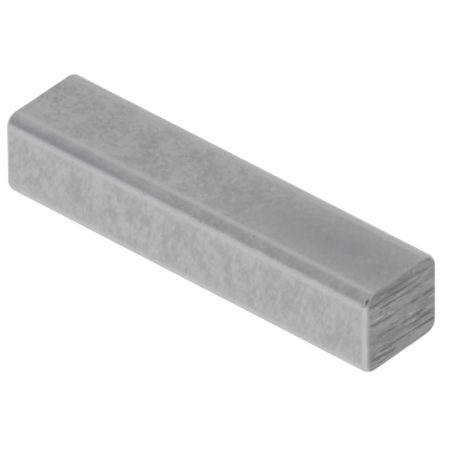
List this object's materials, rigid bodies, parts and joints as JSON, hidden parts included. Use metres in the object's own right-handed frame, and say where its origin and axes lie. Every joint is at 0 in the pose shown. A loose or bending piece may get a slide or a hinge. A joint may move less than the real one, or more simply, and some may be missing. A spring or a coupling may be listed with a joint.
{
  "type": "parallel key",
  "caption": "Square-ended parallel key: a rounded-edge steel bar with sawn ends that locks a hub to a shaft through matching keyways.",
  "frame": {"origin": "centre of the flat face that rests on the floor of the shaft's keyseat", "axes": "+X along the key towards the dented corner's end, +Y from the front flank to the back flank, +Z from the keyseat face to the top face"},
  "size_m": [0.035, 0.008, 0.007],
  "materials": {
    "key_steel": "tumbled matt grey, with sawn end faces"
  },
  "bodies": {
    "root": {"parallel_key": "key_steel"}
  },
  "joints": []
}
